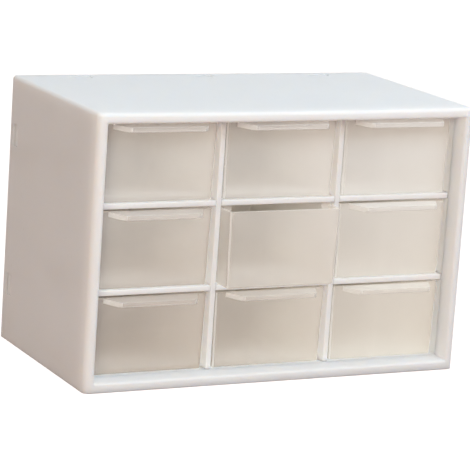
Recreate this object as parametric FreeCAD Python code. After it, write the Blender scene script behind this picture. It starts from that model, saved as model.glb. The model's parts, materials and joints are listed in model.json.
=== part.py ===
import FreeCAD, Part
import os
from FreeCAD import Vector

# Nine-drawer desk cabinet: a white moulded cabinet that holds three rows of three clear drawers.
# Lengths are in millimetres. X runs across the front, +Y to the back, +Z up.
# The origin is the centre of the underside.

# Cabinet outside
body_width = 185.0
body_depth = 98.5
body_height = 122.5
upright_radius = 3.0
roof_radius = 1.2
base_radius = 0.4

# Outer shell: four walls with a thick rim round the front
shell_wall = 2.6
rim_depth = 8.4
rim_flare = 1.0
rim_edge_radius = 1.0
shell_corner_radius = 0.8

# Inner frame: a sleeve inside the shell that holds the shelves and dividers in grooves
frame_wall = 2.5
frame_corner_radius = 0.5
groove_depth = 1.0
slip_gap = 0.15

# Shelves and dividers, halved into each other where they cross
columns = 3
rows = 3
shelf_thickness = 2.5
divider_thickness = 2.4
panel_edge_radius = 0.4
tongue_lead = 2.0

# Back panel: a plate with a skirt that carries hooks, which snap into windows in the shell
back_thickness = 2.4
skirt_depth = 9.4
hook_width = 9.6
hook_depth = 4.6
hook_ramp = 2.4
hook_lip = 0.3
hook_recess = 0.4
hook_from_rear = 3.9
hook_gap = 0.15
hook_spread_x = 61.5
hook_spread_z = 34.7

# Drawers: tapered clear boxes, each with a pull along the top of its front
drawer_wall = 1.5
drawer_floor = 1.6
drawer_corner_radius = 1.8
drawer_foot_radius = 0.5
side_draft = 1.6
end_draft = 0.3
side_gap = 0.8
run_gap = 0.15
head_gap = 1.3
front_gap = 0.3
rear_gap = 0.8

# Pull: a plate with a turned-down edge
pull_depth = 9.2
pull_root_width = 45.0
pull_front_width = 36.0
pull_plate = 1.2
pull_height = 2.8
pull_edge = 1.2
pull_corner_radius = 1.2

# Catch nubs inside the side walls, near the back of each drawer
nub_width = 3.5
nub_thickness = 1.5
nub_drop = 1.8
nub_headroom = 0.4
nub_setback = 9.4
nub_radius = 1.2

# Modelling allowances: how far a cutter runs past a face, how far a joined piece reaches into its
# neighbour, the smallest inside radius, and the share of a wall that a rounded edge may take up
overrun = 1.0
root = 0.5
least_radius = 0.3
rounding_share = 0.9
tolerance = 1e-4

# Places that follow from the sizes above
front = -body_depth / 2
rear = body_depth / 2
middle_z = body_height / 2
cavity_inset = shell_wall + slip_gap + frame_wall
cavity_half_x = body_width / 2 - cavity_inset
cavity_half_z = body_height / 2 - cavity_inset
cavity_floor = cavity_inset
cavity_roof = body_height - cavity_inset
panel_front = front + rim_depth
panel_rear = rear - back_thickness - slip_gap
panel_middle = (panel_front + panel_rear) / 2
skirt_front = rear - back_thickness - skirt_depth
frame_front = panel_front + slip_gap
frame_rear = skirt_front - slip_gap
lining_half_x = body_width / 2 - shell_wall - slip_gap
lining_half_z = body_height / 2 - shell_wall - slip_gap
cell_width = (2 * cavity_half_x - (columns - 1) * divider_thickness) / columns
cell_height = (2 * cavity_half_z - (rows - 1) * shelf_thickness) / rows
column_pitch = cell_width + divider_thickness
row_pitch = cell_height + shelf_thickness
drawer_length = body_depth - back_thickness - rear_gap - pull_depth - front_gap
drawer_height = cell_height - run_gap - head_gap
drawer_top_half = cell_width / 2 - side_gap
rim_face = cavity_inset - rim_flare
upright_edge = min(upright_radius, rounding_share * rim_face)
roof_edge = min(roof_radius, rounding_share * upright_edge)
base_edge = min(base_radius, rounding_share * upright_edge)


def box(x0, x1, y0, y1, z0, z1):
    return Part.makeBox(x1 - x0, y1 - y0, z1 - z0, Vector(x0, y0, z0))


def extrude(points, along):
    return Part.Face(Part.makePolygon(points + points[:1])).extrude(along)


def loft(first, second):
    return Part.makeLoft([first, second], True, True)


def near(value, target):
    return abs(value - target) < tolerance


def edges_where(shape, test):
    """Edges whose ends and middle all pass the test."""
    return [edge for edge in shape.Edges
            if test(edge.BoundBox.Center) and all(test(vertex.Point) for vertex in edge.Vertexes)]


def rounded_outline(half_u, half_v, radius, place):
    """Closed wire of a rounded rectangle; place turns its two coordinates into a point."""
    bend_inset = radius * (1 - 0.5 ** 0.5)
    corners = []
    for side_u, side_v in ((1, 1), (-1, 1), (-1, -1), (1, -1)):
        on_u = (side_u * (half_u - radius), side_v * half_v)
        on_v = (side_u * half_u, side_v * (half_v - radius))
        bend = (side_u * (half_u - bend_inset), side_v * (half_v - bend_inset))
        first, last = (on_v, on_u) if side_u == side_v else (on_u, on_v)
        corners.append([place(*first), place(*bend), place(*last)])
    edges = []
    for index, (first, bend, last) in enumerate(corners):
        edges.append(Part.Arc(first, bend, last).toShape())
        following = corners[(index + 1) % len(corners)][0]
        edges.append(Part.LineSegment(last, following).toShape())
    return Part.Wire(edges)


def upright_outline(half_x, half_z, radius, y):
    return rounded_outline(half_x, half_z, radius, lambda u, v: Vector(u, y, middle_z + v))


def bar(half_x, half_z, radius, y0, y1):
    """Rounded bar along Y, centred on the cabinet."""
    return loft(upright_outline(half_x, half_z, radius, y0), upright_outline(half_x, half_z, radius, y1))


def cavity_bar(y0, y1):
    """The space that the cabinet's lining encloses."""
    return bar(cavity_half_x, cavity_half_z, frame_corner_radius, y0, y1)


def lining_bar(y0, y1):
    """The outside of the pieces that fit inside the shell's walls."""
    radius = max(shell_corner_radius - slip_gap, least_radius)
    return bar(lining_half_x, lining_half_z, radius, y0, y1)


def hook_places():
    """Centre of each hook on the cabinet's outside, with the wall it points through."""
    half_x = body_width / 2
    places = []
    for x in (-hook_spread_x, 0.0, hook_spread_x):
        places.append((x, body_height, "roof"))
        places.append((x, 0.0, "floor"))
    for z in (middle_z - hook_spread_z, middle_z + hook_spread_z):
        places.append((-half_x, z, "left"))
        places.append((half_x, z, "right"))
    return places


def at_hook(shape, x, z, wall):
    """Turns a shape drawn for the roof, with the cabinet's outside at z = 0, to its own wall."""
    angle = {"roof": 0.0, "left": -90.0, "floor": 180.0, "right": 90.0}[wall]
    turned = shape.copy()
    turned.rotate(Vector(0, 0, 0), Vector(0, 1, 0), angle)
    turned.translate(Vector(x, 0, z))
    return turned


def shell_window():
    """Cutter for the window that a hook snaps into."""
    half = hook_width / 2 + hook_gap
    y1 = rear - hook_from_rear + hook_gap
    y0 = rear - hook_from_rear - hook_depth - hook_gap
    return box(-half, half, y0, y1, -shell_wall - slip_gap / 2, overrun)


def hook():
    """Hook that rises towards the back from the skirt's face."""
    half = hook_width / 2
    y1 = rear - hook_from_rear
    y0 = y1 - hook_depth
    skirt_face = -shell_wall - slip_gap
    base = skirt_face - root
    outline = [(y0, base), (y0, skirt_face + hook_lip), (y0 + hook_ramp, -hook_recess),
               (y1, -hook_recess), (y1, base)]
    return extrude([Vector(-half, y, z) for y, z in outline], Vector(hook_width, 0, 0))


def shell_block():
    """The shell's outside: full front uprights, softer roof edges and nearly sharp base edges."""
    half_x = body_width / 2
    block = box(-half_x, half_x, front, rear, 0.0, body_height)
    uprights = [edge for edge in edges_where(block, lambda point: near(point.y, front))
                if near(edge.BoundBox.ZLength, body_height)]
    block = block.makeFillet(upright_edge, uprights)
    for level, radius in ((body_height, roof_edge), (0.0, base_edge)):
        around = [edge for edge in edges_where(block, lambda point: near(point.z, level))
                  if not near(edge.BoundBox.YMin, rear)]
        block = block.makeFillet(radius, around)
    return block


def outer_shell():
    mouth_radius = min(rim_edge_radius, rounding_share * (rim_face - upright_edge))
    pocket = bar(body_width / 2 - shell_wall, body_height / 2 - shell_wall, shell_corner_radius,
                 panel_front, rear + overrun)
    mouth_half_x = cavity_half_x + rim_flare
    mouth_half_z = cavity_half_z + rim_flare
    mouth = loft(upright_outline(mouth_half_x, mouth_half_z, frame_corner_radius, front),
                 upright_outline(cavity_half_x, cavity_half_z, frame_corner_radius, panel_front))
    throat = cavity_bar(panel_front - root, panel_front + overrun)
    shell = shell_block().cut(pocket).cut(mouth).cut(throat)
    for x, z, wall in hook_places():
        shell = shell.cut(at_hook(shell_window(), x, z, wall))

    def on_mouth(point):
        return (near(point.y, front) and abs(point.x) < mouth_half_x + tolerance
                and abs(point.z - middle_z) < mouth_half_z + tolerance)

    return shell.makeFillet(mouth_radius, edges_where(shell, on_mouth))


def inner_frame():
    sleeve = lining_bar(frame_front, frame_rear).cut(cavity_bar(frame_front - overrun, frame_rear + overrun))
    y0 = frame_front - overrun
    y1 = frame_rear + overrun
    half_shelf = shelf_thickness / 2 + slip_gap
    reach = cavity_half_x + groove_depth
    for z in shelf_heights():
        sleeve = sleeve.cut(box(-reach, reach, y0, y1, z - half_shelf, z + half_shelf))
    half_divider = divider_thickness / 2 + slip_gap
    foot = cavity_floor - groove_depth
    head = cavity_roof + groove_depth
    for x in divider_places():
        sleeve = sleeve.cut(box(x - half_divider, x + half_divider, y0, y1, foot, head))
    return sleeve


def back_panel():
    panel = lining_bar(skirt_front, rear).cut(cavity_bar(skirt_front - overrun, rear - back_thickness))
    for x, z, wall in hook_places():
        panel = panel.fuse(at_hook(hook(), x, z, wall))
    return panel.removeSplitter()


def shelf_heights():
    """Middle of each shelf, from the lowest up."""
    return [cavity_floor + (index + 1) * row_pitch - shelf_thickness / 2 for index in range(rows - 1)]


def divider_places():
    """Middle of each divider, from the left."""
    return [-cavity_half_x + (index + 1) * column_pitch - divider_thickness / 2
            for index in range(columns - 1)]


def rounded_front(panel, thickness, inside):
    """Rounds a panel's front edges, except those at its two outer ends."""
    edges = [edge for edge in panel.Edges
             if near(edge.BoundBox.YMin, panel_front) and near(edge.BoundBox.YMax, panel_front)
             and inside(edge.BoundBox.Center)]
    return panel.makeFillet(min(panel_edge_radius, rounding_share * thickness / 2), edges)


def shelf(z):
    """Shelf with slots from the front for the dividers and a tongue at each end."""
    z0 = z - shelf_thickness / 2
    z1 = z + shelf_thickness / 2
    half_x = cavity_half_x - slip_gap
    panel = box(-half_x, half_x, panel_front, panel_rear, z0, z1)
    half_slot = divider_thickness / 2 + slip_gap
    for x in divider_places():
        panel = panel.cut(box(x - half_slot, x + half_slot, panel_front - overrun, panel_middle + slip_gap,
                              z0 - overrun, z1 + overrun))
    panel = rounded_front(panel, shelf_thickness, lambda point: abs(point.x) < half_x - tolerance)
    reach = cavity_half_x + groove_depth - slip_gap
    for side in (-1, 1):
        x0, x1 = sorted((side * (half_x - root), side * reach))
        panel = panel.fuse(box(x0, x1, panel_front + tongue_lead, frame_rear - slip_gap, z0, z1))
    return panel.removeSplitter()


def divider(x):
    """Divider with slots from the back for the shelves and a tongue at its foot and head."""
    x0 = x - divider_thickness / 2
    x1 = x + divider_thickness / 2
    half_z = cavity_half_z - slip_gap
    panel = box(x0, x1, panel_front, panel_rear, middle_z - half_z, middle_z + half_z)
    half_slot = shelf_thickness / 2 + slip_gap
    for z in shelf_heights():
        panel = panel.cut(box(x0 - overrun, x1 + overrun, panel_middle, panel_rear + overrun,
                              z - half_slot, z + half_slot))
    panel = rounded_front(panel, divider_thickness,
                          lambda point: abs(point.z - middle_z) < half_z - tolerance)
    reach = cavity_half_z + groove_depth - slip_gap
    for side in (-1, 1):
        z0, z1 = sorted((middle_z + side * (half_z - root), middle_z + side * reach))
        panel = panel.fuse(box(x0, x1, panel_front + tongue_lead, frame_rear - slip_gap, z0, z1))
    return panel.removeSplitter()


def drawer_outline(height, shrink):
    """Level outline of the drawer box at a height, drawn in by shrink on every side."""
    taper = 1 - height / drawer_height
    half_x = drawer_top_half - side_draft * taper - shrink
    half_y = drawer_length / 2 - end_draft * taper - shrink
    radius = max(drawer_corner_radius - shrink, least_radius)
    return rounded_outline(half_x, half_y, radius,
                           lambda u, v: Vector(u, drawer_length / 2 + v, height))


def pull():
    """Pull for a drawer whose front is at y = 0, level with the drawer's top edge."""
    lean = (pull_root_width - pull_front_width) / 2 / pull_depth
    top = drawer_height
    bottom = top - pull_height

    def slab(reach, inset, low, high):
        across = inset * (1 + lean ** 2) ** 0.5
        wide = pull_root_width / 2 - across
        narrow = wide - lean * reach
        outline = [(-wide, drawer_wall / 2), (-wide, 0), (-narrow, -reach),
                   (narrow, -reach), (wide, 0), (wide, drawer_wall / 2)]
        return extrude([Vector(x, y, low) for x, y in outline], Vector(0, 0, high - low))

    whole = slab(pull_depth, 0.0, bottom, top)
    corners = [edge for edge in edges_where(whole, lambda point: near(point.y, -pull_depth))
               if near(edge.BoundBox.ZLength, pull_height)]
    whole = whole.makeFillet(pull_corner_radius, corners)
    hollow = slab(pull_depth - pull_edge, pull_edge, bottom - overrun, top - pull_plate)
    ahead = box(-pull_root_width, pull_root_width, -pull_depth, 0.0, bottom - overrun, top)
    return whole.cut(hollow.common(ahead))


def catch_nub(side):
    """Nub on the inside of the left (-1) or right (1) side wall, under the shelf above."""
    top = drawer_height + head_gap - nub_headroom
    bottom = drawer_height - nub_drop
    wall_face = drawer_top_half - drawer_wall
    inner = side * (wall_face - nub_width)
    x0, x1 = sorted((inner, side * (wall_face + drawer_wall / 2)))
    y1 = drawer_length - nub_setback
    nub = box(x0, x1, y1 - nub_thickness, y1, bottom, top)
    corners = [edge for edge in edges_where(nub, lambda point: near(point.x, inner))
               if near(edge.BoundBox.YLength, nub_thickness)]
    return nub.makeFillet(min(nub_radius, rounding_share * (top - bottom) / 2), corners)


def drawer():
    """One drawer standing on z = 0, with the outside of its front at y = 0."""
    shape = loft(drawer_outline(0.0, 0.0), drawer_outline(drawer_height, 0.0))
    shape = shape.makeFillet(drawer_foot_radius, edges_where(shape, lambda point: near(point.z, 0.0)))
    above = drawer_height + overrun
    shape = shape.cut(loft(drawer_outline(drawer_floor, drawer_wall), drawer_outline(above, drawer_wall)))
    shape = shape.fuse(pull())
    for side in (-1, 1):
        shape = shape.fuse(catch_nub(side))
    return shape.removeSplitter()


def in_cell(moulding, column, row, turned):
    """A drawer in its cell, counted from the left and from the bottom; a turned one has its back
    to the front."""
    shape = moulding.copy()
    x = (column - (columns - 1) / 2) * column_pitch
    y = front + front_gap + pull_depth
    if turned:
        shape.rotate(Vector(0, 0, 0), Vector(0, 0, 1), 180)
        y = front + front_gap + drawer_length
    shape.translate(Vector(x, y, cavity_floor + row * row_pitch + run_gap))
    return shape


def place_word(index, count, first, last):
    """Word for one place in a line, numbered where there are several middle ones."""
    if index == 0:
        return first
    if index == count - 1:
        return last
    return "middle" if count == 3 else f"middle{index}"


def cabinet_nodes():
    nodes = {"outer_shell": outer_shell(), "inner_frame": inner_frame(), "back_panel": back_panel()}
    for index, z in enumerate(shelf_heights()):
        nodes[place_word(index, rows - 1, "lower", "upper") + "_shelf"] = shelf(z)
    for index, x in enumerate(divider_places()):
        nodes[place_word(index, columns - 1, "left", "right") + "_divider"] = divider(x)
    return nodes


def drawer_nodes():
    """All drawers by name; the one in the centre is put in back to front."""
    moulding = drawer()
    nodes = {}
    for row in range(rows):
        for column in range(columns):
            height = place_word(row, rows, "bottom", "top")
            side = place_word(column, columns, "left", "right")
            centre = row == rows // 2 and column == columns // 2
            name = "drawer_centre" if centre else f"drawer_{height}_{side}"
            nodes[name] = in_cell(moulding, column, row, centre)
    return nodes


os.makedirs("parts", exist_ok=True)
for name, shape in {**cabinet_nodes(), **drawer_nodes()}.items():
    shape.exportStep(f"parts/{name}.step")
    bounds = shape.BoundBox
    print(f"{name}: valid {shape.isValid()}, solids {len(shape.Solids)}, volume {shape.Volume:.0f} mm3, "
          f"x {bounds.XMin:.2f} {bounds.XMax:.2f}, y {bounds.YMin:.2f} {bounds.YMax:.2f}, "
          f"z {bounds.ZMin:.2f} {bounds.ZMax:.2f}")
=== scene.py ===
import json
import math

import bmesh
import bpy
from mathutils import Matrix, Vector


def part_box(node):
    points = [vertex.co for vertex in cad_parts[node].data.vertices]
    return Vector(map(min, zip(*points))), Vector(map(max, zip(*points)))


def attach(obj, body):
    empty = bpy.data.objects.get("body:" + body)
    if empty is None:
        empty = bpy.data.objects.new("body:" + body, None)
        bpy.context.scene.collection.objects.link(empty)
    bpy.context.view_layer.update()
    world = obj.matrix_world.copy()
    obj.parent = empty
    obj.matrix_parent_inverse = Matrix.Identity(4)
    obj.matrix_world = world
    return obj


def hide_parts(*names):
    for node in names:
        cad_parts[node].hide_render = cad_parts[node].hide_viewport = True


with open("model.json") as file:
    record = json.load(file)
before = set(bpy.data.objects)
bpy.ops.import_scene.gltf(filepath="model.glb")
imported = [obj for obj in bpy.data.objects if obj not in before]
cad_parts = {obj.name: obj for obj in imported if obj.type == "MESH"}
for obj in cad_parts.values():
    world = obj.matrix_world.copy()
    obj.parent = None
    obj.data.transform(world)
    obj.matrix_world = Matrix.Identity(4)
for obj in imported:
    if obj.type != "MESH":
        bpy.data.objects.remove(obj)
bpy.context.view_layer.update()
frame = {"nodes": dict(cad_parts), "record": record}
scene = bpy.context.scene
print("frame loaded")


# Camera, solved from the cabinet's corners in the photograph
camera = {"azimuth": 27.16, "elevation": 12.21, "roll": 3.91, "distance": 1.101,
          "aim": (-0.01938, -0.03852, 0.06522), "focalPixels": 2500, "framePixels": 470,
          "sensor": 36.0, "clip": (0.01, 20)}


def makeCamera(s):
    azimuth, elevation, roll = (math.radians(s[k]) for k in ("azimuth", "elevation", "roll"))
    ahead = Vector((math.sin(azimuth) * math.cos(elevation), math.cos(azimuth) * math.cos(elevation),
                    -math.sin(elevation)))
    level = Vector((math.cos(azimuth), -math.sin(azimuth), 0))
    above = level.cross(ahead)
    right = level * math.cos(roll) + above * math.sin(roll)
    up = above * math.cos(roll) - level * math.sin(roll)
    data = bpy.data.cameras.new("camera")
    data.sensor_width = s["sensor"]
    data.lens = s["sensor"] * s["focalPixels"] / s["framePixels"]
    data.clip_start, data.clip_end = s["clip"]
    piece = bpy.data.objects.new("camera", data)
    turn = Matrix((right, up, -ahead)).transposed().to_4x4()
    piece.matrix_world = Matrix.Translation(Vector(s["aim"]) - s["distance"] * ahead) @ turn
    scene.collection.objects.link(piece)
    scene.camera = piece


makeCamera(camera)


# Nodes of a material
def newMaterial(name):
    material = bpy.data.materials.new(name)
    material.use_nodes = True
    material.node_tree.nodes.clear()
    return material, material.node_tree.nodes, material.node_tree.links


def feed(links, socket, value):                 # value is a number, a colour or another node's output
    if isinstance(value, (int, float)):
        socket.default_value = value
    elif isinstance(value, tuple):
        socket.default_value = (*value, 1)
    else:
        links.new(value, socket)


def mixColor(nodes, links, share, first, second):
    mix = nodes.new("ShaderNodeMix")
    mix.data_type = "RGBA"
    for name, value in (("Factor", share), ("A", first), ("B", second)):
        feed(links, mix.inputs[name], value)
    return mix.outputs["Result"]


def mixShader(nodes, links, share, first, second):
    mix = nodes.new("ShaderNodeMixShader")
    for i, value in enumerate((share, first, second)):
        feed(links, mix.inputs[i], value)
    return mix.outputs[0]


def reckon(nodes, links, operation, first, second):
    node = nodes.new("ShaderNodeMath")
    node.operation = operation
    for i, value in enumerate((first, second)):
        feed(links, node.inputs[i], value)
    return node.outputs[0]


# Noise on the piece's own place: what lies between from and to is spread between low and high
plainGrain = {"stretch": (1, 1, 1), "turn": (0, 0, 0), "detail": 3, "from": 0.3, "to": 0.7,
              "low": 0, "high": 1}


def grain(nodes, links, given):
    s = {**plainGrain, **given}
    place = nodes.new("ShaderNodeTexCoord")
    stretch = nodes.new("ShaderNodeMapping")
    stretch.inputs["Scale"].default_value = s["stretch"]
    stretch.inputs["Rotation"].default_value = s["turn"]
    noise = nodes.new("ShaderNodeTexNoise")
    noise.inputs["Scale"].default_value = s["scale"]
    noise.inputs["Detail"].default_value = s["detail"]
    spread = nodes.new("ShaderNodeMapRange")
    spread.inputs["From Min"].default_value = s["from"]
    spread.inputs["From Max"].default_value = s["to"]
    spread.inputs["To Min"].default_value = s["low"]
    spread.inputs["To Max"].default_value = s["high"]
    links.new(place.outputs["Object"], stretch.inputs["Vector"])
    links.new(stretch.outputs["Vector"], noise.inputs["Vector"])
    links.new(noise.outputs["Fac"], spread.inputs["Value"])
    return spread.outputs["Result"]


def rising(nodes, links, axis, reach):          # from 0 to 1 along an axis of the piece
    place = nodes.new("ShaderNodeTexCoord")
    parts = nodes.new("ShaderNodeSeparateXYZ")
    spread = nodes.new("ShaderNodeMapRange")
    spread.inputs["From Min"].default_value, spread.inputs["From Max"].default_value = reach
    links.new(place.outputs["Object"], parts.inputs[0])
    links.new(parts.outputs[axis], spread.inputs["Value"])
    return spread.outputs["Result"]


def bumps(nodes, links, layers):
    normal = None
    for layer in layers:
        bump = nodes.new("ShaderNodeBump")
        bump.inputs["Distance"].default_value = layer["depth"]
        links.new(grain(nodes, links, layer), bump.inputs["Height"])
        if normal:
            links.new(normal, bump.inputs["Normal"])
        normal = bump.outputs["Normal"]
    return normal


# Satin moulded plastic that lets a little light through, with painted light towards the right
def whitePlastic(name, s):
    material, nodes, links = newMaterial(name)
    out = nodes.new("ShaderNodeOutputMaterial")
    shader = nodes.new("ShaderNodeBsdfPrincipled")
    # Painted light: the colour turns lighter towards the right, standing in for light from that side; only
    # the frame's colours differ
    paintedLightTone = mixColor(nodes, links, rising(nodes, links, "X", s["paintedLightReach"]), s["color"], s["paintedLightColor"])
    clouds = mixColor(nodes, links, grain(nodes, links, s["clouds"]), paintedLightTone, s["cloudColor"])
    color = mixColor(nodes, links, grain(nodes, links, s["dust"]), clouds, s["dustColor"])
    links.new(color, shader.inputs["Base Color"])
    scuffs = reckon(nodes, links, "ADD", grain(nodes, links, s["satin"]), grain(nodes, links, s["scuffs"]))
    links.new(scuffs, shader.inputs["Roughness"])
    shader.inputs["IOR"].default_value = s["ior"]
    shader.inputs["Specular IOR Level"].default_value = s["gloss"]
    shader.inputs["Subsurface Weight"].default_value = s["milk"]
    shader.inputs["Subsurface Radius"].default_value = s["milkRadius"]
    shader.inputs["Subsurface Scale"].default_value = s["milkDepth"]
    links.new(bumps(nodes, links, s["bumps"]), shader.inputs["Normal"])
    links.new(shader.outputs[0], out.inputs["Surface"])
    return material


# Clear plastic with a haze of fine scratches; lamps reach what is behind it; its haze holds painted shade and
# light
def clearPlastic(name, s):
    material, nodes, links = newMaterial(name)
    out = nodes.new("ShaderNodeOutputMaterial")
    # Painted shade: the haze colour darkens towards the cabinet's bottom and left
    left, right = (mixColor(nodes, links, rising(nodes, links, "Z", s["paintedShadeRise"]), *pair)
                   for pair in s["paintedHazeColors"])
    paintedHazeColor = mixColor(nodes, links, rising(nodes, links, "X", s["paintedShadeReach"]), left, right)
    glass = nodes.new("ShaderNodeBsdfPrincipled")
    glass.inputs["Base Color"].default_value = (*s["color"], 1)
    glass.inputs["Roughness"].default_value = s["roughness"]
    glass.inputs["IOR"].default_value = s["ior"]
    glass.inputs["Transmission Weight"].default_value = 1
    links.new(bumps(nodes, links, s["bumps"]), glass.inputs["Normal"])
    milk = nodes.new("ShaderNodeBsdfDiffuse")
    through = nodes.new("ShaderNodeBsdfTranslucent")
    for shader in (milk, through):
        links.new(paintedHazeColor, shader.inputs["Color"])
    haze = mixShader(nodes, links, s["through"], milk.outputs[0], through.outputs[0])
    slant = nodes.new("ShaderNodeLayerWeight")
    steep = reckon(nodes, links, "POWER", slant.outputs["Facing"], s["edgePower"])
    edge = reckon(nodes, links, "MULTIPLY", steep, s["edgeHaze"])
    # Painted light: more haze, so a lighter drawer, towards the right
    paintedLightShare = reckon(nodes, links, "MULTIPLY", rising(nodes, links, "X", s["paintedLightReach"]), s["paintedLightHaze"])
    share = reckon(nodes, links, "ADD", grain(nodes, links, s["haze"]),
                   reckon(nodes, links, "ADD", edge, paintedLightShare))
    body = mixShader(nodes, links, share, glass.outputs[0], haze)
    clear = nodes.new("ShaderNodeBsdfTransparent")
    clear.inputs["Color"].default_value = (*s["shade"], 1)
    path = nodes.new("ShaderNodeLightPath")
    lit = reckon(nodes, links, "MAXIMUM", path.outputs["Is Shadow Ray"], path.outputs["Is Diffuse Ray"])
    links.new(mixShader(nodes, links, lit, body, clear.outputs[0]), out.inputs["Surface"])
    return material


orangePeel = {"scale": 700, "detail": 1, "depth": 0.00001}
moulding = {"scale": 22, "detail": 1, "depth": 0.00035}
waves = {"scale": 16, "detail": 1, "depth": 0.0001}
scratches = {"scale": 30, "stretch": (1, 9, 22), "turn": (0, 0, 0.5), "detail": 4, "from": 0.56, "to": 0.62,
             "depth": 0.000003}
shellFinish = {"color": (0.925, 0.93, 0.935), "paintedLightColor": (0.925, 0.93, 0.935), "paintedLightReach": (-0.08, 0.08),
               "cloudColor": (0.945, 0.945, 0.945), "clouds": {"scale": 16, "low": 0, "high": 0.6},
               "dustColor": (0.74, 0.70, 0.66),
               "dust": {"scale": 260, "detail": 6, "from": 0.66, "to": 0.74, "low": 0, "high": 0.16},
               "satin": {"scale": 45, "low": 0.30, "high": 0.40},
               "scuffs": {"scale": 34, "stretch": (9, 1, 3), "turn": (0.2, 0, 0.6), "detail": 8,
                          "from": 0.55, "to": 0.68, "low": 0, "high": 0.14},
               "ior": 1.5, "gloss": 0.15, "milk": 0.85, "milkRadius": (1.0, 0.86, 0.74), "milkDepth": 0.007,
               "bumps": (moulding, orangePeel)}
# The frame's lighter colour at the right is painted light
frameFinish = {**shellFinish, "color": (0.93, 0.92, 0.91), "paintedLightColor": (0.975, 0.97, 0.96),
               "cloudColor": (0.955, 0.95, 0.94), "clouds": {"scale": 16, "low": 0, "high": 0.3},
               "milkDepth": 0.004}
# Haze colours are painted shade: given low and high, first at the left and then at the right, darker low and
# at the left
drawerFinish = {"color": (0.997, 0.996, 0.992), "roughness": 0.07, "ior": 1.5, "shade": (0.993, 0.992, 0.987),
                "paintedHazeColors": (((0.71, 0.64, 0.57), (0.93, 0.91, 0.87)),
                               ((0.95, 0.91, 0.83), (0.985, 0.98, 0.95))),
                "paintedShadeRise": (0.02, 0.1), "paintedShadeReach": (-0.045, 0.055),
                "haze": {"scale": 28, "detail": 4, "low": 0.34, "high": 0.37}, "through": 0.25,
                "paintedLightHaze": 0.35, "paintedLightReach": (-0.01, 0.055), "edgePower": 3.0, "edgeHaze": 0.35,
                "bumps": (waves, scratches)}
# A whiter, hazier coat for the drawers' edges and corners: a painted highlight
paintedHighlightFinish = {**drawerFinish, "haze": {**drawerFinish["haze"], "low": 0.7, "high": 0.8}, "paintedLightHaze": 0.1,
              "paintedHazeColors": (((0.95, 0.93, 0.91), (0.99, 0.98, 0.97)),
                             ((0.99, 0.98, 0.95), (0.99, 0.99, 0.97)))}

shellWhite = whitePlastic("shellWhite", shellFinish)
frameWhite = whitePlastic("frameWhite", frameFinish)
drawerClear = clearPlastic("drawerClear", drawerFinish)
drawerPaintedHighlight = clearPlastic("drawerPaintedHighlight", paintedHighlightFinish)
finishes = {"shell_white": shellWhite, "frame_white": frameWhite, "drawer_clear": drawerClear}
for node in frame["nodes"].values():
    for held in node.material_slots:
        held.material = finishes[held.material.name]
print("materials made")


# Shaping, in metres and degrees; each rounding is a radius and a number of segments
close, near, weld = 0.00002, 0.0004, 1e-7       # how far points, faces and cuts may lie off their place
flat, wallLike, parallel = 0.999, 0.995, 0.99   # least share of a normal or an edge along a direction
softening = {"segments": 2, "angle": 35}        # every edge that turns more than the angle is softened
axes = {"x": Vector((1, 0, 0)), "y": Vector((0, 1, 0)), "z": Vector((0, 0, 1))}


def block(low, high):
    bm = bmesh.new()
    bmesh.ops.create_cube(bm, size=1)
    bmesh.ops.scale(bm, vec=high - low, verts=bm.verts)
    bmesh.ops.translate(bm, vec=(low + high) / 2, verts=bm.verts)
    return bm


def middleOf(face):
    return face.calc_center_median()


def facing(bm, along, place):                   # flat faces that look along a direction, at one place
    bm.normal_update()
    return [face for face in bm.faces if face.normal.dot(along) > flat
            and abs((middleOf(face) - place).dot(along)) < near]


def edgesAlong(bm, axis, test=lambda edge: True):
    return [edge for edge in bm.edges if test(edge)
            and abs((edge.verts[1].co - edge.verts[0].co).normalized().dot(axes[axis])) > parallel]


def edgesAt(bm, axis, place):                   # edges that lie in one plane
    index = "xyz".index(axis)
    return [edge for edge in bm.edges if all(abs(vert.co[index] - place) < close for vert in edge.verts)]


def vertsOf(faces):
    return list(dict.fromkeys(vert for face in faces for vert in face.verts))


def roundOff(bm, edges, radius, segments):
    return bmesh.ops.bevel(bm, geom=edges, offset=radius, segments=segments, profile=0.5, affect="EDGES",
                           material=-1, clamp_overlap=False)


def cutPatch(bm, chosen, limits):               # cuts the chosen faces and returns those within the limits
    for axis, bounds in limits.items():
        for bound in bounds:
            parts = dict.fromkeys(part for face in chosen() for part in (face, *face.edges, *face.verts))
            bmesh.ops.bisect_plane(bm, geom=list(parts), dist=weld, plane_co=axes[axis] * bound,
                                   plane_no=axes[axis])

    def within(point):
        return all(min(bounds) - close < point["xyz".index(axis)] < max(bounds) + close
                   for axis, bounds in limits.items())
    return [face for face in chosen() if within(middleOf(face))]


def cutAcross(bm, axis, places):                # keeps large flat faces apart from their rounded corners
    for place in places:
        bmesh.ops.bisect_plane(bm, geom=bm.verts[:] + bm.edges[:] + bm.faces[:], dist=weld,
                               plane_co=axes[axis] * place, plane_no=axes[axis])


def pushOut(bm, faces, along):                  # draws faces out of a surface and returns them there
    made = bmesh.ops.extrude_face_region(bm, geom=faces)["geom"]
    bmesh.ops.translate(bm, vec=along, verts=[part for part in made if isinstance(part, bmesh.types.BMVert)])
    bmesh.ops.delete(bm, geom=faces, context="FACES")
    return [part for part in made if isinstance(part, bmesh.types.BMFace)]


def boxOf(node):
    return tuple(Vector(corner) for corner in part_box(node))


def bodyOf(node):
    bodies = frame["record"]["behaviour"]["bodies"]
    return next(body for body, nodes in bodies.items() if node in nodes)


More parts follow.
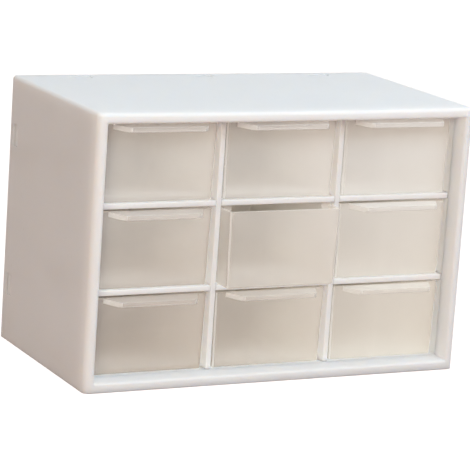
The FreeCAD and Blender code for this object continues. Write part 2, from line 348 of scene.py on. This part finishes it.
def finishPiece(name, bm, node, coats, softness):         # the last coat goes on the softened edges
    bmesh.ops.recalc_face_normals(bm, faces=bm.faces)
    mesh = bpy.data.meshes.new(name)
    bm.to_mesh(mesh)
    bm.free()
    mesh.shade_smooth()
    for coat in coats:
        mesh.materials.append(coat)
    piece = bpy.data.objects.new(name, mesh)
    scene.collection.objects.link(piece)
    soften = piece.modifiers.new("soften", "BEVEL")
    soften.width, soften.segments, soften.material = softness, softening["segments"], len(coats) - 1
    soften.limit_method, soften.angle_limit = "ANGLE", math.radians(softening["angle"])
    piece.modifiers.new("even", "WEIGHTED_NORMAL").keep_sharp = False
    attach(piece, bodyOf(node))
    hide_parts(node)


# Drawers: tapered clear boxes with a pull along the top of the front and two catch nubs near the back
drawerShape = {"wall": 0.0015, "floor": 0.0016, "sideDraft": 0.0007, "endDraft": 0.0003,
               "corner": (0.0018, 6), "foot": (0.0005, 3), "inside": (0.00025, 3),
               "pullDepth": 0.0092, "pullRoot": 0.045, "pullFront": 0.036, "pullHeight": 0.0021,
               "pullPlate": 0.0012, "pullEdge": 0.0012, "pullRootGap": 0.0003,
               "pullTip": (0.0012, 4), "pullLine": (0.0005, 2), "paintedHighlightSide": 0.3, "paintedHighlightCorner": 0.5,
               "nubRise": 0.0009, "nubDrop": 0.0018, "nubWidth": 0.0035, "nubThickness": 0.0015,
               "nubSetback": 0.0094, "nub": (0.0011, 3), "flatten": 0.3, "margin": 0.004, "softness": 0.0002}


def drawerBox(s, width, length, height):
    half = width / 2
    bm = block(Vector((-half, 0, 0)), Vector((half, length, height)))
    middle = Matrix.Translation((0, -length / 2, 0))
    foot = [vert for vert in bm.verts if vert.co.z < close]
    bmesh.ops.scale(bm, vec=(1 - s["sideDraft"] / half, 1 - 2 * s["endDraft"] / length, 1), verts=foot,
                    space=middle)
    roundOff(bm, edgesAlong(bm, "z"), *s["corner"])
    roundOff(bm, edgesAt(bm, "z", 0), *s["foot"])
    top = facing(bm, axes["z"], Vector((0, 0, height)))
    bmesh.ops.inset_region(bm, faces=top, thickness=s["wall"], use_even_offset=True)
    inside = pushOut(bm, top, (0, 0, s["floor"] - height))
    taper = 1 - s["floor"] / height
    scaleX = 1 - s["sideDraft"] * taper / (half - s["wall"])
    scaleY = 1 - s["endDraft"] * taper / (length / 2 - s["wall"])
    bmesh.ops.scale(bm, vec=(scaleX, scaleY, 1), verts=vertsOf(inside), space=middle)
    roundOff(bm, edgesAt(bm, "z", s["floor"]), *s["inside"])
    return bm


def addPull(bm, s, height):
    low = height - s["pullHeight"]
    half, tip = s["pullRoot"] / 2, -s["pullDepth"]
    patch = cutPatch(bm, lambda: facing(bm, -axes["y"], Vector()), {"x": (-half, half), "z": (low, height)})
    for vert in vertsOf(pushOut(bm, patch, (0, tip, 0))):
        vert.co.y = tip
        vert.co.x *= s["pullFront"] / s["pullRoot"]
    roundOff(bm, edgesAlong(bm, "z", lambda edge: edge.verts[0].co.y < tip + close), *s["pullTip"])
    under = [face for face in facing(bm, -axes["z"], Vector((0, 0, low))) if middleOf(face).y < 0]
    bmesh.ops.inset_region(bm, faces=under, thickness=s["pullEdge"], use_even_offset=True)
    for vert in vertsOf(under):
        if vert.co.y > -s["pullEdge"] - s["pullRootGap"]:
            vert.co.y = -s["pullRootGap"]
    pushOut(bm, under, (0, 0, s["pullHeight"] - s["pullPlate"]))
    line = [edge for edge in edgesAt(bm, "z", low)
            if sum(vert.co.y for vert in edge.verts) / 2 < tip + s["pullTip"][0] - close]
    # The pull's lower edge and its slanted sides take the painted highlight coat
    lit = roundOff(bm, line, *s["pullLine"])["faces"]
    bm.normal_update()
    lit += [face for face in bm.faces if abs(face.normal.x) > s["paintedHighlightSide"]
            and middleOf(face).y < -close and middleOf(face).x * face.normal.x > 0]
    for face in lit:
        face.material_index = 1


def paintCornerHighlights(bm, s, length):                # the upright corners take the painted highlight coat, as the pull's edge does
    bm.normal_update()
    for face in bm.faces:
        out = middleOf(face) - Vector((0, length / 2, 0))
        if (min(abs(face.normal.x), abs(face.normal.y)) > s["paintedHighlightCorner"]
                and min(out.x * face.normal.x, out.y * face.normal.y) > 0):
            face.material_index = 1


def addNub(bm, s, side, width, length, height):
    wallFace = width / 2 - s["wall"]
    inner = side * (wallFace - s["nubWidth"])
    y1 = length - s["nubSetback"]
    y0 = y1 - s["nubThickness"]

    def wallInside():
        bm.normal_update()
        return [face for face in bm.faces if face.normal.x * side < -wallLike
                and side * middleOf(face).x > 0 and middleOf(face).z > s["floor"]]

    def topFaces(first, last):
        return [face for face in facing(bm, axes["z"], Vector((0, 0, height)))
                if first < side * middleOf(face).x < last]
    patch = cutPatch(bm, wallInside, {"y": (y0, y1), "z": (height - s["nubDrop"], height)})
    for vert in vertsOf(pushOut(bm, patch, (-side * s["nubWidth"], 0, 0))):
        vert.co.x = inner
    across = sorted((side * wallFace, side * (wallFace + s["wall"] / 2)))
    ledge = cutPatch(bm, lambda: topFaces(wallFace - close, width), {"y": (y0, y1), "x": across})
    ledge += [face for face in topFaces(side * inner, wallFace) if y0 < middleOf(face).y < y1]
    pushOut(bm, ledge, (0, 0, s["nubRise"]))
    return inner


def drawerMesh(s, width, length, height):
    bm = drawerBox(s, width, length, height)
    addPull(bm, s, height)
    paintCornerHighlights(bm, s, length)
    inner = [addNub(bm, s, side, width, length, height) for side in (-1, 1)]
    bmesh.ops.dissolve_limit(bm, angle_limit=math.radians(s["flatten"]), verts=bm.verts, edges=bm.edges)
    for place in inner:
        roundOff(bm, edgesAlong(bm, "y", lambda edge: abs(edge.verts[0].co.x - place) < close), *s["nub"])
    cutAcross(bm, "x", (s["margin"] - width / 2, width / 2 - s["margin"]))
    cutAcross(bm, "y", (s["margin"], length - s["margin"]))
    return bm


def makeDrawers(s):
    for node in sorted(frame["nodes"]):
        if not node.startswith("drawer"):
            continue
        low, high = boxOf(node)
        size = high - low
        bm = drawerMesh(s, size.x, size.y - s["pullDepth"], size.z - s["nubRise"])
        turned = node == "drawer_centre"        # put in back to front
        front = high.y - s["pullDepth"] if turned else low.y + s["pullDepth"]
        place = Matrix.Translation(((low.x + high.x) / 2, front, low.z))
        if turned:
            place = place @ Matrix.Rotation(math.pi, 4, "Z")
        bmesh.ops.transform(bm, matrix=place, verts=bm.verts)
        # The second coat paints highlights on the softened edges, the pull's edges and the upright corners
        finishPiece(node.replace("drawer_", "clear_drawer_"), bm, node, (drawerClear, drawerPaintedHighlight),
                    s["softness"])


makeDrawers(drawerShape)
print("drawers made")


# Cabinet: shell, back panel, shelves and dividers
shellShape = {"wall": 0.0026, "upright": (0.003, 8), "roof": (0.0017, 5), "base": (0.0004, 3),
              "mouthInset": 0.00425, "mouthExtra": 0.0004, "mouthCorner": (0.0005, 3),
              "mouthEdge": (0.001, 5), "throatInset": 0.00525, "inside": (0.0008, 4), "rimDepth": 0.0084,
              "sag": 0.0007, "sagReach": 0.0075, "sagSteps": 12,
              "windowHalf": 0.00495, "windowFront": 0.00865, "windowRear": 0.00375, "softness": 0.0002}
backShape = {"slip": 0.00015, "corner": (0.00065, 4), "skirt": 0.0094, "plate": 0.0024, "skirtWall": 0.0025,
             "hookHalf": 0.0048, "hookRear": 0.0039, "hookDepth": 0.0046, "hookRamp": 0.0024,
             "hookLip": 0.0003, "hookHeight": 0.00235, "margin": 0.009, "softness": 0.0002}
panelShape = {"slip": 0.00015, "tongue": 0.001, "tongueLead": 0.002, "tongueEnd": 0.012, "nose": (0.0004, 4),
              "softness": 0.0001}
hooks = {"spreadX": 0.0615, "spreadZ": 0.0347}


def hookPlaces(s, low, high):                   # direction out of the wall, and the hook's middle across it
    middle = (low.z + high.z) / 2
    places = [(axes["z"] * side, "x", x) for side in (1, -1) for x in (-s["spreadX"], 0, s["spreadX"])]
    return places + [(axes["x"] * side, "z", middle + z) for side in (1, -1)
                     for z in (-s["spreadZ"], s["spreadZ"])]


def onWall(low, high, out, inset):              # a point on the wall that looks along out
    return (high if out.x + out.z > 0 else low) - out * inset


def openMouth(bm, s, low, high):                # narrows toward the back, from the rim's face to the throat
    centre = (low + high) / 2
    thick, thin = s["mouthInset"] + s["mouthExtra"], s["mouthInset"]
    first, last = low + Vector((thick, 0, thin)), high - Vector((thin, 0, thick))
    mouth = cutPatch(bm, lambda: facing(bm, -axes["y"], low),
                     {"x": (first.x, last.x), "z": (first.z, last.z)})
    end = vertsOf(pushOut(bm, mouth, (0, s["rimDepth"], 0)))
    for vert in end:
        for i in (0, 2):
            vert.co[i] = low[i] + s["throatInset"] if vert.co[i] < centre[i] else high[i] - s["throatInset"]
    deep = [edge for vert in end for edge in vert.link_edges if edge.other_vert(vert) not in end]
    roundOff(bm, deep, *s["mouthCorner"])
    around = [edge for edge in edgesAt(bm, "y", low.y)
              if all(first[i] - close < vert.co[i] < last[i] + close for vert in edge.verts for i in (0, 2))]
    roundOff(bm, around, *s["mouthEdge"])


def openRear(bm, s, low, high):                 # hollows the shell from behind, up to the throat
    throat = low.y + s["rimDepth"]
    back = cutPatch(bm, lambda: facing(bm, axes["y"], high),
                    {axis: (low[i] + s["wall"], high[i] - s["wall"]) for axis, i in (("x", 0), ("z", 2))})
    corners = vertsOf(pushOut(bm, back, (0, throat - high.y, 0)))
    pocket = [edge for edge in edgesAlong(bm, "y") if any(vert in corners for vert in edge.verts)]
    roundOff(bm, pocket, *s["inside"])
    bm.normal_update()
    ends = [face for face in bm.faces if abs(middleOf(face).y - throat) < close
            and abs(face.normal.y) > parallel]
    bmesh.ops.delete(bm, geom=ends, context="FACES_ONLY")
    bmesh.ops.bridge_loops(bm, edges=[edge for edge in bm.edges if edge.is_boundary])
    bmesh.ops.recalc_face_normals(bm, faces=bm.faces)


def openWindows(bm, s, low, high):
    for out, axis, place in hookPlaces(hooks, low, high):
        limits = {axis: (place - s["windowHalf"], place + s["windowHalf"]),
                  "y": (high.y - s["windowFront"], high.y - s["windowRear"])}
        outside = cutPatch(bm, lambda: facing(bm, out, onWall(low, high, out, 0)), limits)
        inside = cutPatch(bm, lambda: facing(bm, -out, onWall(low, high, out, s["wall"])), limits)
        rims = [edge for face in outside + inside for edge in face.edges]
        bmesh.ops.delete(bm, geom=outside + inside, context="FACES_ONLY")
        bmesh.ops.bridge_loops(bm, edges=rims)


def letSag(bm, s, low, high):                   # the roof hangs a little in the middle of its front
    centre, half = (low + high) / 2, (high - low) / 2
    cutAcross(bm, "x", [low.x + (high.x - low.x) * step / s["sagSteps"] for step in range(1, s["sagSteps"])])
    for vert in bm.verts:
        share = max(0, (vert.co.z - high.z) / s["sagReach"] + 1) * (high.y - vert.co.y) / (high.y - low.y)
        vert.co.z -= s["sag"] * share * (1 - ((vert.co.x - centre.x) / half.x) ** 2)


def shellMesh(s, low, high):
    bm = block(low, high)
    front = edgesAt(bm, "y", low.y)
    roundOff(bm, [edge for edge in front if edge in edgesAlong(bm, "z")], *s["upright"])
    for level, rounding in ((high.z, s["roof"]), (low.z, s["base"])):
        around = [edge for edge in edgesAt(bm, "z", level) if edge not in edgesAt(bm, "y", high.y)]
        roundOff(bm, around, *rounding)
    openMouth(bm, s, low, high)
    openRear(bm, s, low, high)
    openWindows(bm, s, low, high)
    letSag(bm, s, low, high)
    return bm


def backMesh(s, low, high, wall):
    step = Vector((wall + s["slip"], 0, wall + s["slip"]))
    inner, outer = low + step, high - step
    inner.y = high.y - s["plate"] - s["skirt"]
    bm = block(inner, outer)
    roundOff(bm, edgesAlong(bm, "y"), *s["corner"])
    face = facing(bm, -axes["y"], inner)
    bmesh.ops.inset_region(bm, faces=face, thickness=s["skirtWall"], use_even_offset=True)
    pushOut(bm, face, (0, s["skirt"], 0))
    rear = high.y - s["hookRear"]
    front = rear - s["hookDepth"]
    for out, axis, place in hookPlaces(hooks, low, high):
        limits = {axis: (place - s["hookHalf"], place + s["hookHalf"]),
                  "y": (front, front + s["hookRamp"], rear)}
        patch = cutPatch(bm, lambda: facing(bm, out, onWall(inner, outer, out, 0)), limits)
        for vert in vertsOf(pushOut(bm, patch, out * s["hookHeight"])):
            if vert.co.y < front + close:
                vert.co -= out * (s["hookHeight"] - s["hookLip"])
    for axis, i in (("x", 0), ("z", 2)):
        cutAcross(bm, axis, (low[i] + s["margin"], high[i] - s["margin"]))
    return bm


# A panel with slots halfway through its depth, from the front or the rear, and a tongue at both ends
def panelMesh(s, low, high, axis, slots, fromFront):
    index = "xyz".index(axis)
    low, high = low.copy(), high.copy()
    low[index] += s["tongue"]
    high[index] -= s["tongue"]
    middle = (low.y + high.y) / 2
    if fromFront:
        bm = block(Vector((low.x, middle, low.z)), high)
        side, reach = -axes["y"], low.y - middle
    else:
        bm = block(low, Vector((high.x, middle, high.z)))
        side, reach = axes["y"], high.y - middle
    cuts = [edge for slot in slots for edge in slot]
    cutPatch(bm, lambda: facing(bm, side, Vector((0, middle, 0))), {axis: cuts})
    tabs = [face for face in facing(bm, side, Vector((0, middle, 0)))
            if not any(first < middleOf(face)[index] < last for first, last in slots)]
    pushOut(bm, tabs, (0, reach, 0))
    nose = [edge for edge in edgesAt(bm, "y", low.y)
            if low[index] + close < sum(vert.co[index] for vert in edge.verts) / 2 < high[index] - close]
    roundOff(bm, nose, *s["nose"])
    for end, direction in ((low, -axes[axis]), (high, axes[axis])):
        bounds = (low.y + s["tongueLead"], high.y - s["tongueEnd"])
        patch = cutPatch(bm, lambda: facing(bm, direction, end), {"y": bounds})
        pushOut(bm, patch, direction * s["tongue"])
    return bm


def slotsFor(nodes, axis, slip):                # the room that crossing panels take along an axis
    index = "xyz".index(axis)
    return [(boxOf(node)[0][index] - slip, boxOf(node)[1][index] + slip) for node in nodes]


def makeCabinet():
    low, high = boxOf("outer_shell")
    finishPiece("white_shell", shellMesh(shellShape, low, high), "outer_shell", (shellWhite,),
                shellShape["softness"])
    finishPiece("rear_cover", backMesh(backShape, low, high, shellShape["wall"]), "back_panel", (shellWhite,),
                backShape["softness"])
    shelves, dividers = ("lower_shelf", "upper_shelf"), ("left_divider", "right_divider")
    for nodes, others, axis in ((shelves, dividers, "x"), (dividers, shelves, "z")):
        for node in nodes:
            slots = slotsFor(others, axis, panelShape["slip"])
            bm = panelMesh(panelShape, *boxOf(node), axis, slots, nodes is shelves)
            finishPiece("white_" + node, bm, node, (frameWhite,), panelShape["softness"])


makeCabinet()
print("cabinet made")


# Floor, lamps and world
studio = {"floorSize": 30.0, "floorColor": (0.40, 0.28, 0.25), "floorGlow": 0.95, "lampAim": (0, 0, 0.06),
          "worldTop": (0.60, 0.66, 0.70), "worldSide": (0.03, 0.03, 0.03), "worldLeft": (0.42, 0.30, 0.23),
          "worldFront": (0.03, 0.03, 0.03), "worldSeen": (1.0, 1.0, 1.0), "worldStrength": 1.0}
lamps = {"keyLamp": {"place": (0.15, -0.75, 1.0), "size": 0.4, "power": 4.7, "color": (0.79, 0.89, 1.0)},
         "rightLamp": {"place": (0.62, -0.62, 0.6), "size": 0.4, "power": 2.15, "color": (0.97, 1.0, 1.0)},
         "roofLamp": {"place": (0.45, 0.15, 0.8), "size": 0.4, "power": 0.9, "color": (0.94, 1.0, 0.97)},
         "leftLamp": {"place": (-0.7, -0.9, 0.45), "size": 0.4, "power": 5.8, "color": (1.0, 0.95, 0.84)}}


def seenRays(nodes, links):                     # 1 for what is seen, also through or off a surface
    path = nodes.new("ShaderNodeLightPath")
    seen = reckon(nodes, links, "MAXIMUM", path.outputs["Is Camera Ray"], path.outputs["Is Transmission Ray"])
    return reckon(nodes, links, "MAXIMUM", seen, path.outputs["Is Glossy Ray"])


def makeFloor(s):
    bpy.ops.mesh.primitive_plane_add(size=s["floorSize"])
    floor = bpy.context.object
    floor.name = "floor"
    material, nodes, links = newMaterial("floorWhite")
    out = nodes.new("ShaderNodeOutputMaterial")
    matte = nodes.new("ShaderNodeBsdfDiffuse")
    matte.inputs["Color"].default_value = (*s["floorColor"], 1)
    glow = nodes.new("ShaderNodeEmission")
    strength = reckon(nodes, links, "MULTIPLY", seenRays(nodes, links), s["floorGlow"])
    links.new(strength, glow.inputs["Strength"])
    both = nodes.new("ShaderNodeAddShader")
    links.new(matte.outputs[0], both.inputs[0])
    links.new(glow.outputs[0], both.inputs[1])
    links.new(both.outputs[0], out.inputs["Surface"])
    floor.data.materials.append(material)


def makeLamp(name, s, aim):
    data = bpy.data.lights.new(name, "AREA")
    data.shape = "SQUARE"
    data.size = s["size"]
    data.energy = s["power"]
    data.color = s["color"]
    lamp = bpy.data.objects.new(name, data)
    lamp.location = s["place"]
    lamp.rotation_mode = "QUATERNION"
    lamp.rotation_quaternion = (Vector(aim) - Vector(s["place"])).to_track_quat("-Z", "Y")
    scene.collection.objects.link(lamp)


def makeWorld(s):
    world = bpy.data.worlds.new("studio")
    world.use_nodes = True
    scene.world = world
    nodes, links = world.node_tree.nodes, world.node_tree.links
    sky = nodes.new("ShaderNodeTexCoord")
    toward = nodes.new("ShaderNodeSeparateXYZ")
    links.new(sky.outputs["Generated"], toward.inputs[0])
    tint = mixColor(nodes, links, toward.outputs["Z"], s["worldSide"], s["worldTop"])
    for axis, color in (("Y", s["worldFront"]), ("X", s["worldLeft"])):
        away = reckon(nodes, links, "MULTIPLY", toward.outputs[axis], -1.0)
        tint = mixColor(nodes, links, away, tint, color)
    tint = mixColor(nodes, links, seenRays(nodes, links), tint, s["worldSeen"])
    links.new(tint, nodes["Background"].inputs["Color"])
    nodes["Background"].inputs["Strength"].default_value = s["worldStrength"]


makeFloor(studio)
for name, settings in lamps.items():
    makeLamp(name, settings, studio["lampAim"])
makeWorld(studio)
print("studio made")

scene.view_settings.view_transform = "Standard"
scene.cycles.max_bounces = 32
scene.cycles.transmission_bounces = 32
scene.cycles.transparent_max_bounces = 64
scene.cycles.diffuse_bounces = 10
scene.cycles.glossy_bounces = 12
